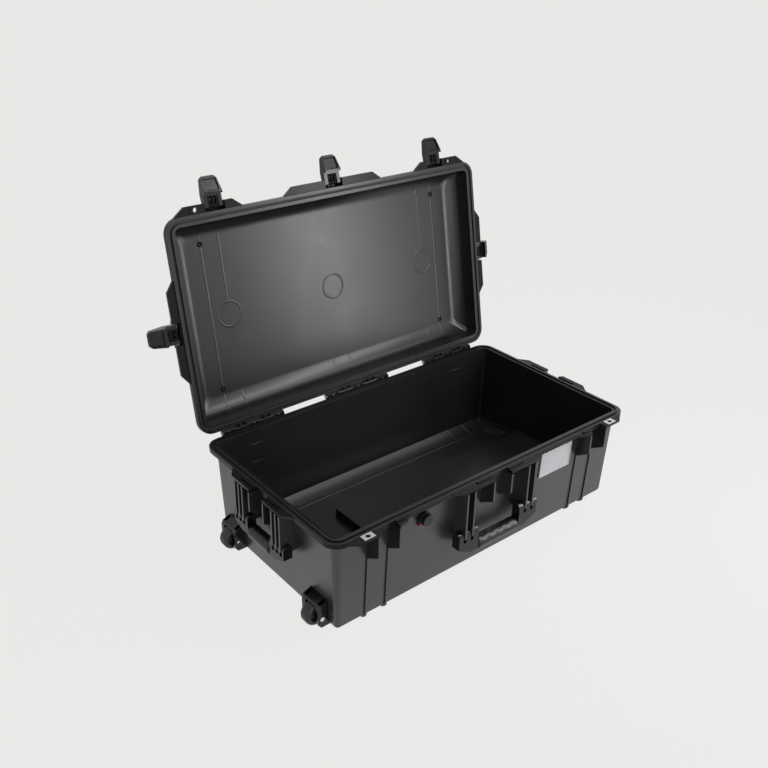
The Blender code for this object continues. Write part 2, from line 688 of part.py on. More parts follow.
# Wheels in their housings
for name, sign in (("front", -1), ("rear", 1)):
    centre = wheel_centre(sign)
    low, high = housing_span(sign)
    back = -HALF_X + wall_inset(0.0) + WELL_DEPTH - 2 * CLEARANCE
    face = -HALF_X + wall_inset(HOUSING_TOP) - HOUSING_REACH
    foot = RIB_FOOT - FOOT_HEIGHT
    outline = [(back, foot), (back, HOUSING_TOP - 0.0005), (face + HOUSING_REACH, HOUSING_TOP - 0.0005),
               (face, HOUSING_TOP - 0.008), (face - 0.003, HOUSING_TOP - 0.016), (face - 0.003, foot + 0.009),
               (face + 0.004, foot)]
    housing = plate(outline, "Y", low + 0.001, high - 0.001)
    slot = WHEEL_WIDTH / 2 + WHEEL_GAP
    gap = WHEEL_RADIUS + 0.0025
    middle = sign * WHEEL_Y
    hollow = [rod((centre.x, middle - slot, centre.z), (centre.x, middle + slot, centre.z), gap, 16),
              box((centre.x - gap, middle - slot, -0.02), (centre.x + gap, middle + slot, centre.z)),
              box((face - 0.03, middle - slot, -0.02), (centre.x, middle + slot, centre.z + gap * 0.75)),
              rod((centre.x, low - 0.01, centre.z), (centre.x, high + 0.01, centre.z), AXLE_RADIUS + CLEARANCE)]
    for end in (low + CHEEK / 2, high - CHEEK / 2):
        hollow.append(box((face + 0.0025, end - CHEEK * 0.36, HOUSING_TOP - 0.016),
                          (face + HOUSING_REACH - 0.002, end + CHEEK * 0.36, HOUSING_TOP + 0.01)))
    part(f"wheel_housing_{name}", cut(housing, hollow), POLYMER)
    outer = high if sign > 0 else low
    inner = low if sign > 0 else high
    shaft = rod((centre.x, inner + sign * 0.002, centre.z), (centre.x, outer, centre.z), AXLE_RADIUS)
    head = rod((centre.x, outer - sign * (0.001 - CLEARANCE), centre.z), (centre.x, outer + sign * 0.001, centre.z), AXLE_RADIUS * 1.6)
    part(f"axle_{name}", fuse(shaft, [head]), STEEL)
    hinge = pivot(f"wheel_{name}_axis", centre)
    half = WHEEL_WIDTH / 2
    hub = rod((centre.x, middle - half, centre.z), (centre.x, middle + half, centre.z), WHEEL_RADIUS - TYRE_THICKNESS - CLEARANCE, 20)
    dish = [rod((centre.x, middle - half - 0.01, centre.z), (centre.x, middle + half + 0.01, centre.z), AXLE_RADIUS + CLEARANCE)]
    part(f"wheel_hub_{name}", cut(hub, dish), NYLON, hinge)
    bore = WHEEL_RADIUS - TYRE_THICKNESS
    shoulder = WHEEL_RADIUS - TYRE_THICKNESS / 2
    crown = half * 0.6
    section = ((bore, -half), (shoulder, -half), (WHEEL_RADIUS, -crown), (WHEEL_RADIUS, crown), (shoulder, half), (bore, half))
    tyre = revolve(section, centre, 20)
    part(f"wheel_tyre_{name}", tyre, URETHANE, hinge)


# Carry handles, hanging closed against their towers
def handle(label, edge, degrees, half, plates, pivot_z, arm, grip_half):
    pivot_y = -edge - BOSS_REACH + HANDLE_PIVOT_IN
    round_end = HANDLE_DEPTH / 2
    bottom = pivot_z - arm
    chamfer = arm * 0.42
    front = [(-half, pivot_z + round_end), (-half, bottom + chamfer), (-grip_half - 0.012, bottom), (grip_half + 0.012, bottom),
             (half, bottom + chamfer), (half, pivot_z + round_end), (grip_half + 0.001, pivot_z + round_end),
             (grip_half + 0.001, bottom + HANDLE_BAR), (-grip_half - 0.001, bottom + HANDLE_BAR),
             (-grip_half - 0.001, pivot_z + round_end)]
    frame = plate(front, "Y", pivot_y - round_end, pivot_y + round_end)
    side = arc((pivot_y, pivot_z), round_end, 180, 0, 6) + [(pivot_y + round_end, bottom + 0.004), (pivot_y + round_end - 0.004, bottom),
                                                            (pivot_y - round_end + 0.004, bottom), (pivot_y - round_end, bottom + 0.004)]
    frame = common(frame, [plate(side, "X", -half - 0.01, half + 0.01)])
    slots = []
    slot_low = pivot_z - HANDLE_PIVOT_IN - 0.0015
    slot_half = TOWER_PLATE / 2 + HANDLE_SLOT_GAP
    for sign in (-1, 1):
        for place in plates:
            x = sign * place
            slots.append(box((x - slot_half, pivot_y - 0.03, slot_low), (x + slot_half, pivot_y + 0.03, pivot_z + 0.03)))
        span = sorted((sign * (grip_half - 0.005), sign * (half + 0.005)))
        slots.append(rod((span[0], pivot_y, pivot_z), (span[1], pivot_y, pivot_z), HANDLE_PIN_RADIUS + CLEARANCE))
    for sign in (-1, 1):
        low, high = sorted((pivot_y + sign * 0.006, pivot_y + sign * 0.03))
        slots.append(box((-grip_half, low, bottom - 0.01), (grip_half, high, bottom + HANDLE_BAR + 0.01)))
    slots.append(box((-grip_half, pivot_y - 0.03, bottom - 0.01), (grip_half, pivot_y + 0.03, bottom + 0.004)))
    slots.append(box((-grip_half, pivot_y - 0.03, bottom + HANDLE_BAR - 0.004), (grip_half, pivot_y + 0.03, bottom + HANDLE_BAR + 0.01)))
    frame = cut(frame, slots)
    hinge = pivot(f"{label}_axis", turned_point((0, pivot_y, pivot_z), degrees))
    part(f"{label}_frame", turned(frame, degrees), POLYMER, hinge)

    stations = 16
    rings = []
    for i in range(stations + 1):
        x = (-1 + 2 * i / stations) * (grip_half - CLEARANCE)
        swell = 0.0012 * math.cos(4 * math.tau * i / stations)
        rings.append((x, GRIP_DEPTH / 2 + swell, HANDLE_BAR / 2 + swell))
    bm = bmesh.new()
    loops = []
    middle_z = bottom + HANDLE_BAR / 2
    for x, depth, height in rings:
        loops.append([bm.verts.new((x, pivot_y + depth * math.cos(t), middle_z + height * math.sin(t)))
                      for t in (math.tau * (k + 0.5) / 10 for k in range(10))])
    for a, b in zip(loops, loops[1:]):
        for k in range(10):
            bm.faces.new((a[k], a[(k + 1) % 10], b[(k + 1) % 10], b[k]))
    bm.faces.new(loops[0])
    bm.faces.new(loops[-1])
    bmesh.ops.recalc_face_normals(bm, faces=bm.faces)
    grip = mesh_object("grip", bm)
    core = box((-grip_half - 0.01, pivot_y - 0.006 - CLEARANCE, bottom + 0.004 - CLEARANCE),
               (grip_half + 0.01, pivot_y + 0.006 + CLEARANCE, bottom + HANDLE_BAR - 0.004 + CLEARANCE))
    part(f"{label}_grip", turned(cut(grip, [core]), degrees), RUBBER, hinge)
    for name, sign in (("left", -1), ("right", 1)):
        span = sorted((sign * (grip_half + 0.002), sign * (half - 0.001)))
        pin = rod((span[0], pivot_y, pivot_z), (span[1], pivot_y, pivot_z), HANDLE_PIN_RADIUS)
        part(f"{label}_pin_{name}", turned(pin, degrees), STEEL)


def turned_point(point, degrees):
    return Matrix.Rotation(math.radians(degrees), 3, "Z") @ Vector(point)


handle("front_handle", HALF_Y, 0.0, FRONT_HANDLE_HALF, FRONT_HANDLE_PLATES, FRONT_HANDLE_PIVOT_Z, FRONT_HANDLE_ARM, FRONT_GRIP_HALF)
handle("end_handle", HALF_X, -90.0, END_HANDLE_HALF, END_HANDLE_PLATES, END_HANDLE_PIVOT_Z, END_HANDLE_ARM, END_GRIP_HALF)

# Pull handle: fixed guides, sliding tubes, grip and release button
cover = box((channel_start + CLEARANCE, -channel_half() + CLEARANCE, 0.0), (channel_end, channel_half() - CLEARANCE, COVER_THICKNESS))
part("trolley_cover", cover, POLYMER)
trolley = pivot("trolley_slide", (HALF_X - wall_inset(0.0), 0, 0))
tube_z = COVER_THICKNESS + CLEARANCE + GUIDE_WALL + CLEARANCE + TROLLEY_TUBE_HEIGHT / 2
grip_back = HALF_X - wall_inset(RAMP_TOP) - 0.010
for name, sign in (("left", 1), ("right", -1)):
    y = sign * TROLLEY_TUBE_Y
    half_w = TROLLEY_TUBE_WIDTH / 2
    half_h = TROLLEY_TUBE_HEIGHT / 2
    guide_w = half_w + CLEARANCE + GUIDE_WALL
    guide_h = half_h + CLEARANCE + GUIDE_WALL
    start = channel_start + CLEARANCE
    guide = box((start, y - guide_w, tube_z - guide_h), (channel_end - 0.002, y + guide_w, tube_z + guide_h))
    bore = box((start - 0.01, y - half_w - CLEARANCE, tube_z - half_h - CLEARANCE),
               (channel_end + 0.01, y + half_w + CLEARANCE, tube_z + half_h + CLEARANCE))
    part(f"trolley_guide_{name}", cut(guide, [bore]), ALUMINIUM)
    tube = box((start + 0.002, y - half_w, tube_z - half_h), (grip_back - CLEARANCE, y + half_w, tube_z + half_h))
    hollow = box((start - 0.01, y - half_w + TUBE_WALL, tube_z - half_h + TUBE_WALL),
                 (grip_back + 0.01, y + half_w - TUBE_WALL, tube_z + half_h - TUBE_WALL))
    part(f"trolley_tube_{name}", cut(tube, [hollow]), ALUMINIUM, trolley)
grip_low = tube_z - TROLLEY_TUBE_HEIGHT / 2 - 0.001
grip_high = RAMP_TOP - WALL - 0.004
grip_half = RAMP_HALF - WALL - 0.003
grip_front = grip_back + TROLLEY_GRIP_DEPTH
bar_low = tube_z + TROLLEY_TUBE_HEIGHT / 2 + 0.003
leg = TROLLEY_TUBE_WIDTH / 2 + 0.002
outline = [(-grip_half, bar_low + 0.002), (-grip_half, grip_high - 0.004), (-grip_half + 0.006, grip_high), (grip_half - 0.006, grip_high),
           (grip_half, grip_high - 0.004), (grip_half, bar_low + 0.002), (TROLLEY_TUBE_Y + leg, grip_low), (TROLLEY_TUBE_Y - leg, grip_low),
           (TROLLEY_TUBE_Y - leg - 0.004, bar_low), (-TROLLEY_TUBE_Y + leg + 0.004, bar_low), (-TROLLEY_TUBE_Y + leg, grip_low),
           (-TROLLEY_TUBE_Y - leg, grip_low)]
handle_bar = plate(outline, "X", grip_back, grip_front)
half_bw = TROLLEY_BUTTON_WIDTH / 2
half_bh = TROLLEY_BUTTON_HEIGHT / 2
button_z = (bar_low + grip_high) / 2
socket = box((grip_front - 0.010, -half_bw - CLEARANCE, button_z - half_bh - CLEARANCE),
             (grip_front + 0.01, half_bw + CLEARANCE, button_z + half_bh + CLEARANCE))
part("trolley_grip", cut(handle_bar, [socket]), POLYMER, trolley)
press = pivot("trolley_button_slide", (grip_front, 0, button_z), parent=trolley)
button = box((grip_front - 0.005, -half_bw, button_z - half_bh), (grip_front + 0.003, half_bw, button_z + half_bh))
part("trolley_button", button, NYLON, press)

# Lid, built closed and swung open about its hinge
lid_hinge = pivot("lid_hinge", (0, HINGE_Y, HINGE_Z), (-math.radians(LID_OPEN_DEG), 0, 0))
lid_flange_top = LID_RIM + LID_FLANGE_THICKNESS
groove_out = TONGUE_INSET - GROOVE_MARGIN
groove_in = TONGUE_INSET + TONGUE_WIDTH + GROOVE_MARGIN
groove_top = LID_RIM + GROOVE_DEPTH
inner = FLANGE_OVERHANG + WALL
outer_high = FLANGE_OVERHANG + 0.004
rings = list(fillet(outer_high, LID_TOP, LID_TOP_FILLET, 4, -1, 1))[::-1]
rings = rings + [(rounded(FLANGE_OVERHANG), lid_flange_top), (rounded(0.0), lid_flange_top), (rounded(0.0), LID_RIM),
                 (rounded(groove_out), LID_RIM), (rounded(groove_out), groove_top), (rounded(groove_in), groove_top),
                 (rounded(groove_in), LID_RIM), (rounded(inner), LID_RIM)]
rings += list(fillet(inner + 0.003, LID_CEILING, LID_INNER_FILLET, 5, -1, 1))
lid = loft(rings)

lid_boss_low = RIM_HEIGHT + BOSS_GAP
pivot_z = LID_RIM + LATCH_PIVOT_RISE
additions = []
cuts = hinge_bores()
latches = []
for edge, degrees, places, spans in edges():
    pivot_y = -edge - LATCH_PIVOT_OUT
    for span in spans:
        additions.append(turned(boss_plate(span, edge, lid_boss_low, lid_boss_low + BOSS_THICKNESS + 0.001, 0.006), degrees))
    hood_low = pivot_z + LEVER_ROUND + HOOD_GAP
    hood_top = hood_low + HOOD_THICKNESS
    hood_out = pivot_y + LATCH_PIVOT_OUT * 0.5
    for middle in places:
        hood_half = LATCH_GAP / 2 + EAR_WIDTH * 0.5
        additions.append(turned(box((middle - hood_half, hood_out, hood_low),
                                    (middle + hood_half, -edge + FLANGE_OVERHANG + WALL * 0.6, hood_top - 0.0002)), degrees))
        for sign in (-1, 1):
            low, high = sorted((middle + sign * LATCH_GAP / 2, middle + sign * (LATCH_GAP / 2 + EAR_WIDTH)))
            root = -edge + groove_out * 0.75
            outline = [(root, lid_boss_low + 0.001), (pivot_y - EAR_RADIUS, lid_boss_low + 0.001)]
            outline += arc((pivot_y, pivot_z), EAR_RADIUS, 180, 90, 4)
            wall_face = -edge + FLANGE_OVERHANG + WALL * 0.5
            outline += [(hood_out, hood_top), (wall_face, hood_top), (wall_face, lid_flange_top - 0.001),
                        (root, lid_flange_top - 0.001)]
            additions.append(turned(plate(outline, "X", low, high), degrees))
        reach = LATCH_GAP / 2 + EAR_WIDTH + 0.004
        cuts.append(turned(rod((middle - reach, pivot_y, pivot_z), (middle + reach, pivot_y, pivot_z),
                               LATCH_PIN_RADIUS + CLEARANCE, 10), degrees))
        latches.append((turned_point((middle, pivot_y, pivot_z), degrees), degrees))
for x in rib_places():
    reach = HALF_Y - outer_high - LID_TOP_FILLET
    outline = [(-reach, LID_TOP - 0.002), (-reach + LID_RIB_HEIGHT, LID_TOP + LID_RIB_HEIGHT), (reach - LID_RIB_HEIGHT, LID_TOP + LID_RIB_HEIGHT), (reach, LID_TOP - 0.002)]
    additions.append(plate(outline, "X", x - RIB_WIDTH / 2, x + RIB_WIDTH / 2))
additions += knuckles(1, LID_RIM + 0.0005, lid_flange_top - 0.002, HALF_Y - 0.006)
for x, y in eye_places():
    half = PLATE_SIZE / 2
    depth = BOSS_REACH / 2 - 0.001
    additions.append(box((x - half, y - depth, lid_boss_low - EYE_PAD_HEIGHT), (x + half, y + depth, lid_boss_low + 0.002)))
    cuts.append(rod((x, y, LID_RIM - 0.01), (x, y, lid_flange_top + 0.02), EYE_RADIUS))
fuse(lid, additions)
cut(lid, cuts)
part("lid_shell", lid, POLYMER, lid_hinge)
seal_top = groove_top - CLEARANCE
seal_low = seal_top - SEAL_THICKNESS
side = GROOVE_MARGIN / 3
seal = loft([(rounded(groove_out + side), seal_low), (rounded(groove_out + side), seal_top),
             (rounded(groove_in - side), seal_top), (rounded(groove_in - side), seal_low)], closed=True)
part("lid_seal", seal, RUBBER, lid_hinge)


# Latches: lever, trigger and pin, drawn closed with the pivot at the origin
def latch_lever():
    ledge = -(pivot_z - UNDER) - 0.0005
    profile = arc((0, 0), LEVER_ROUND, 180, 0, 6)
    profile += [(0.0050, ledge), (LATCH_HOOK, ledge), (LATCH_HOOK, ledge - 0.005), (0.0005, -LATCH_LENGTH + 0.001),
                (-LATCH_OUTER + 0.004, -LATCH_LENGTH), (-LATCH_OUTER, -LATCH_LENGTH + 0.005), (-LATCH_OUTER, ledge)]
    lever = plate(profile, "X", -LATCH_WIDTH / 2, LATCH_WIDTH / 2)
    w = LATCH_WIDTH / 2
    t = LATCH_TIP_WIDTH / 2
    plan = [(-w, 0.01), (-w, ledge), (-t, -LATCH_LENGTH + 0.006), (-t + 0.006, -LATCH_LENGTH - 0.001), (t - 0.006, -LATCH_LENGTH - 0.001),
            (t, -LATCH_LENGTH + 0.006), (w, ledge), (w, 0.01)]
    lever = common(lever, [plate(plan, "Y", -0.03, 0.03)])
    window_top = ledge - 0.0085
    window_low = window_top - TRIGGER_HEIGHT
    half = TRIGGER_WIDTH / 2
    skin = -LATCH_OUTER + 0.0045
    lip = TRIGGER_LIP + CLEARANCE
    bar = rod((-LATCH_WIDTH / 2 + 0.006, 0.0005, ledge * 0.55), (LATCH_WIDTH / 2 - 0.006, 0.0005, ledge * 0.55), 0.0022, 8)
    cuts = [box((-half - CLEARANCE, -0.03, window_low - CLEARANCE), (half + CLEARANCE, 0.03, window_top + CLEARANCE)),
            box((-half - lip, skin, window_low - lip), (half + lip, 0.03, window_top + lip)),
            box((-LATCH_WIDTH / 2 + 0.008, -0.002, ledge + 0.004), (LATCH_WIDTH / 2 - 0.008, 0.03, 0.02)),
            rod((-0.05, 0, 0), (0.05, 0, 0), LATCH_PIN_RADIUS + CLEARANCE, 10)]
    cut(lever, cuts)
    fuse(lever, [bar])
    stem = box((-half, -LATCH_OUTER - 0.001, window_low), (half, skin + CLEARANCE + 0.001, window_top))
    slope = (LATCH_HOOK - 0.0005) / (LATCH_LENGTH + ledge - 0.006)

    def inside(z):
        return 0.0005 + (z + LATCH_LENGTH - 0.001) * slope - TRIGGER_RECESS
    wide = half + TRIGGER_LIP
    behind = skin + CLEARANCE
    flange = hull([(x, y, z) for x in (-wide, wide) for z in (window_low - TRIGGER_LIP, window_top + TRIGGER_LIP)
                   for y in (behind, max(inside(z), behind + 0.002))])
    trigger = fuse(stem, [flange])
    reach = LATCH_GAP / 2 + EAR_WIDTH + 0.0005
    return lever, trigger, rod((-reach, 0, 0), (reach, 0, 0), LATCH_PIN_RADIUS, 10)


names = ("front_left", "front_centre", "front_right", "wheel_end", "trolley_end")
for name, (at, degrees) in zip(names, latches):
    lever, trigger, pin = latch_lever()
    hinge = pivot(f"latch_{name}_axis", at, (-math.radians(LATCH_REST_DEG[name]), 0, math.radians(degrees)), lid_hinge)
    slide = pivot(f"latch_trigger_{name}_slide", at, parent=hinge)
    for obj in (lever, trigger, pin):
        obj.data.transform(Matrix.Translation(at))
    part(f"latch_{name}", lever, POLYMER, hinge)
    part(f"latch_trigger_{name}", trigger, POLYMER, slide)
    part(f"latch_pin_{name}", pin, STEEL, hinge)

bpy.context.view_layer.update()
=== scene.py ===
import json
import math
import bpy
from mathutils import Matrix, Vector


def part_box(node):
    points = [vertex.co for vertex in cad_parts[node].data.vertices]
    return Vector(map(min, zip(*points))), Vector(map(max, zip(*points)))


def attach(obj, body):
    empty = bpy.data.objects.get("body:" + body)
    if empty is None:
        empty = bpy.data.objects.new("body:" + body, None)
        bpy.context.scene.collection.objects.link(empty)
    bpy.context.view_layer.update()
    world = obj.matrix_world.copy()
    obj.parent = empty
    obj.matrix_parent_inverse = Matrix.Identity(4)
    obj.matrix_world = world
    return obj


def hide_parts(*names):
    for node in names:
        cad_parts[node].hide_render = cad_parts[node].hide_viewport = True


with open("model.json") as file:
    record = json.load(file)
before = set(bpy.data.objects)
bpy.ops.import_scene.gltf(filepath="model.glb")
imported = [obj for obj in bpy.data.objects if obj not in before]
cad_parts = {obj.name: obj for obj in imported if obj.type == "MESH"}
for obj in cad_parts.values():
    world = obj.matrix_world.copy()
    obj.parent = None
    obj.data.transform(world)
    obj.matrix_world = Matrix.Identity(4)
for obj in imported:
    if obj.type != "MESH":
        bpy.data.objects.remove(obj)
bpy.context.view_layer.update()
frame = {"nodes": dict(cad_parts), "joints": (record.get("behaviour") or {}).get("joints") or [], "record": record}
nodes = frame["nodes"]
bodyOf = {node: body for body, members in frame["record"]["behaviour"]["bodies"].items() for node in members}
slotOf = {s["node"]: s["material_slot"] for s in frame["record"]["subparts"]}
print("frame loaded:", len(nodes), "nodes")


# shader maths on sockets
class Wire:
    def __init__(self, tree, socket):
        self.tree = tree
        self.socket = socket

    def math(self, operation, first, second):
        node = self.tree.nodes.new("ShaderNodeMath")
        node.operation = operation
        for place, value in zip(node.inputs, (first, second)):
            if isinstance(value, Wire):
                self.tree.links.new(value.socket, place)
            else:
                place.default_value = value
        return Wire(self.tree, node.outputs[0])

    def __add__(self, other):
        return self.math("ADD", self, other)

    def __radd__(self, other):
        return self.math("ADD", other, self)

    def __sub__(self, other):
        return self.math("SUBTRACT", self, other)

    def __rsub__(self, other):
        return self.math("SUBTRACT", other, self)

    def __mul__(self, other):
        return self.math("MULTIPLY", self, other)

    def __rmul__(self, other):
        return self.math("MULTIPLY", other, self)


class Finish:
    def __init__(self, name, **fixed):
        self.material = bpy.data.materials.new(name)
        self.material.use_nodes = True
        self.tree = self.material.node_tree
        self.shader = self.tree.nodes["Principled BSDF"]
        for socket, value in fixed.items():
            self.shader.inputs[socket].default_value = value
        self.place = self.node("TexCoord", out="Object")

    def node(self, kind, settings=None, inputs=None, out=0):
        node = self.tree.nodes.new("ShaderNode" + kind)
        for key, value in (settings or {}).items():
            setattr(node, key, value)
        for key, value in (inputs or {}).items():
            if isinstance(value, Wire):
                self.tree.links.new(value.socket, node.inputs[key])
            else:
                node.inputs[key].default_value = value
        return Wire(self.tree, node.outputs[out])

    def noise(self, scale, detail=2.0, rough=0.5, stretch=None):
        at = self.place
        if stretch:
            at = self.node("Mapping", None, {"Vector": self.place, "Scale": stretch})
        sockets = {"Vector": at, "Scale": scale, "Detail": detail, "Roughness": rough}
        return self.node("TexNoise", None, sockets)

    def blend(self, factor, first, second):
        return self.node("Mix", {"data_type": "RGBA"}, {0: factor, 6: first, 7: second}, out=2)

    def feed(self, socket, wire):
        self.tree.links.new(wire.socket, self.shader.inputs[socket])

    def bump(self, height, strength, distance):
        sockets = {"Height": height, "Strength": strength, "Distance": distance}
        self.feed("Normal", self.node("Bump", None, sockets))


def grey(level, tint):
    return (level, level, level * tint, 1.0)


# polymers and rubbers: dark and light colour, roughness and its spread, grain scale and depth, gloss; the
# outer-wall black is a lighter, glossier copy of the shell black as painted light, and the rim and link blacks are
# darker, duller copies as painted shade
polymers = {"shellBlack": (0.008, 0.013, 0.31, 0.14, 1500.0, 0.16, 0.46),
            "litWallBlack": (0.016, 0.024, 0.34, 0.14, 1300.0, 0.18, 0.76),
            "shadedRimBlack": (0.007, 0.011, 0.24, 0.08, 1700.0, 0.10, 0.15),
            "fittingBlack": (0.005, 0.008, 0.20, 0.08, 1900.0, 0.06, 0.36),
            "shadedLinkBlack": (0.003, 0.005, 0.48, 0.10, 1900.0, 0.08, 0.08),
            "gripRubber": (0.005, 0.008, 0.33, 0.12, 900.0, 0.14, 0.42),
            "sealRubber": (0.006, 0.010, 0.62, 0.10, 1200.0, 0.12, 0.50),
            "tyreRubber": (0.014, 0.024, 0.50, 0.20, 700.0, 0.20, 0.50),
            "greyNylon": (0.030, 0.045, 0.42, 0.14, 1300.0, 0.12, 0.50)}
moulding = {"cloud": 7.0, "flow": 24.0, "flowStretch": (1.0, 0.3, 0.6), "flowShare": 0.5, "grainRough": 0.10,
            "darkTint": 1.04, "lightTint": 1.05, "depth": 0.00025}


# faint clouds and flow marks under a spark-eroded grain
def polymerFinish(name):
    m = moulding
    dark, light, rough, spread, grain, grainBump, gloss = polymers[name]
    f = Finish(name, **{"Specular IOR Level": gloss})
    cloud = f.noise(m["cloud"], 4.0) - 0.5
    flow = f.noise(m["flow"], 3.0, 0.6, m["flowStretch"]) - 0.5
    spark = f.noise(grain, 2.0, 0.6)
    f.feed("Base Color", f.blend(cloud + 0.5, grey(dark, m["darkTint"]), grey(light, m["lightTint"])))
    marks = cloud * spread + flow * (spread * m["flowShare"])
    f.feed("Roughness", rough + marks + (spark - 0.5) * m["grainRough"])
    f.bump(spark, grainBump, m["depth"])
    return f.material


shellBlack = polymerFinish("shellBlack")
# lighter, glossier copy of the shell black for the outer walls: painted light
litWallBlack = polymerFinish("litWallBlack")
# darker, duller copy of the shell black for the flanges and bosses: painted shade over a smoother skin
shadedRimBlack = polymerFinish("shadedRimBlack")
fittingBlack = polymerFinish("fittingBlack")
# darkest, dullest copy of the black for the latch links, painted shade in their necks; the lid dots take it too
shadedLinkBlack = polymerFinish("shadedLinkBlack")
gripRubber = polymerFinish("gripRubber")
sealRubber = polymerFinish("sealRubber")
tyreRubber = polymerFinish("tyreRubber")
greyNylon = polymerFinish("greyNylon")

# bare stainless sheet and rods, and drawn aluminium tube
steel = {"dull": (0.60, 0.60, 0.59, 1), "bright": (0.70, 0.70, 0.69, 1), "streak": 900.0, "smear": 60.0,
         "streakRough": 0.22, "smearRough": 0.12, "bump": 0.12, "depth": 0.0001}


def steelFinish(name, rough, stretch):
    m = steel
    f = Finish(name, **{"Metallic": 1.0})
    streak = f.noise(m["streak"], 3.0, 0.6, stretch)
    smear = f.noise(m["smear"], 3.0)
    f.feed("Base Color", f.blend(smear, m["dull"], m["bright"]))
    f.feed("Roughness", rough + (streak - 0.5) * m["streakRough"] + (smear - 0.5) * m["smearRough"])
    f.bump(streak, m["bump"], m["depth"])
    return f.material


stainless = steelFinish("stainless", 0.30, (0.05, 1.0, 1.0))
anodised = steelFinish("anodised", 0.36, (0.02, 1.0, 1.0))

# red sealing ring under the valve
ringSpeck = {"scale": 700.0, "dark": (0.30, 0.008, 0.014, 1), "light": (0.42, 0.014, 0.022, 1), "rough": 0.42,
             "spread": 0.2, "bump": 0.15, "depth": 0.0002}


def ringFinish():
    m = ringSpeck
    f = Finish("ringRed")
    speck = f.noise(m["scale"], 3.0)
    f.feed("Base Color", f.blend(speck, m["dark"], m["light"]))
    f.feed("Roughness", m["rough"] + (speck - 0.5) * m["spread"])
    f.bump(speck, m["bump"], m["depth"])
    return f.material


ringRed = ringFinish()

# pale frosted tray and its blank card
trayHaze = {"haze": 40.0, "fibre": 900.0, "tint": 1.02, "spread": 0.18, "bump": 0.08, "depth": 0.0002}


def trayFinish(name, low, high, rough):
    m = trayHaze
    f = Finish(name)
    haze = f.noise(m["haze"], 4.0)
    fibre = f.noise(m["fibre"], 3.0, 0.6)
    f.feed("Base Color", f.blend(haze, grey(low, m["tint"]), grey(high, m["tint"])))
    f.feed("Roughness", rough + (fibre - 0.5) * m["spread"])
    f.bump(fibre, m["bump"], m["depth"])
    return f.material


trayFrost = trayFinish("trayFrost", 0.36, 0.42, 0.30)
cardBlank = trayFinish("cardBlank", 0.36, 0.41, 0.62)

finishOf = {"black_polymer": shellBlack, "grip_rubber": gripRubber, "seal_rubber": sealRubber,
            "stainless_steel": stainless, "aluminium_tube": anodised, "wheel_polyurethane": tyreRubber,
            "grey_nylon": greyNylon, "red_rubber": ringRed, "clear_grey_plastic": trayFrost,
            "blank_card": cardBlank}
fittings = ("latch_", "front_handle_frame", "end_handle_frame", "purge_valve_body", "wheel_housing",
            "trolley_grip")
for name, obj in nodes.items():
    finish = finishOf[slotOf[name]]
    if finish is shellBlack and name.startswith(fittings) or "handle_pin" in name:
        finish = fittingBlack
    obj.data.materials.clear()
    obj.data.materials.append(finish)
print("finishes set")

joint = {j["name"]: j for j in frame["joints"]}
hinge = Vector(joint["lid_hinge"]["pos_m"])
openAngle = math.radians(joint["lid_hinge"]["range_deg"][0])
lidOpen = Matrix.Translation(hinge) @ Matrix.Rotation(openAngle, 4, "X") @ Matrix.Translation(-hinge)


def bareStart():
    if bpy.context.mode != "OBJECT":
        bpy.ops.object.mode_set(mode="OBJECT")
    bpy.ops.object.select_all(action="DESELECT")


def pick(piece):
    bareStart()
    piece.select_set(True)
    bpy.context.view_layer.objects.active = piece


def editAll(piece):
    pick(piece)
    bpy.ops.object.mode_set(mode="EDIT")
    bpy.ops.mesh.select_all(action="SELECT")


def finishWith(piece, kind, **settings):
    pick(piece)
    step = piece.modifiers.new("step", kind)
    for key, value in settings.items():
        setattr(step, key, value)
    bpy.ops.object.modifier_apply(modifier=step.name)


def block(low, high):
    bareStart()
    bpy.ops.mesh.primitive_cube_add(size=1.0, location=[(a + b) / 2 for a, b in zip(low, high)])
    piece = bpy.context.active_object
    piece.scale = [b - a for a, b in zip(low, high)]
    bpy.ops.object.transform_apply(location=True, rotation=True, scale=True)
    return piece


def joined(pieces):
    bareStart()
    for piece in pieces:
        piece.select_set(True)
    bpy.context.view_layer.objects.active = pieces[0]
    bpy.ops.object.join()
    return bpy.context.active_object


def between(low, high, steps):
    return [low + (high - low) * k / steps for k in range(steps + 1)]


# the broad sloped bands round the floor of the base and the top of the lid, which is set out closed
shellPlan = {"halfX": 0.395, "halfY": 0.2185, "corner": 0.031, "tight": 0.004,
             "endSlack": 0.004, "wallSlack": 0.0004, "turnSlack": 0.03, "roundSlack": 0.06}
floorBand = {"level": 0.006, "up": 1, "wallIn": 0.0257, "round": 0.026, "rise": 0.011, "edgeIn": 0.0263,
             "reach": 0.039, "soft": 0.30, "rampX": 0.25, "rampY": 0.091}
lidBand = {"level": 0.258, "up": -1, "wallIn": 0.022, "round": 0.030, "rise": 0.0210, "edgeIn": 0.0218,
           "reach": 0.035, "soft": 0.42, "rampX": 9.0, "rampY": 0.0}


# height and tilt of the band at a way in from its upper edge
def bandSpot(m, away):
    radius = (m["reach"] ** 2 + m["rise"] ** 2) / (2 * m["rise"])
    rest = m["reach"] - away
    return m["level"] + m["up"] * (radius - math.sqrt(radius ** 2 - rest ** 2)), math.asin(rest / radius)


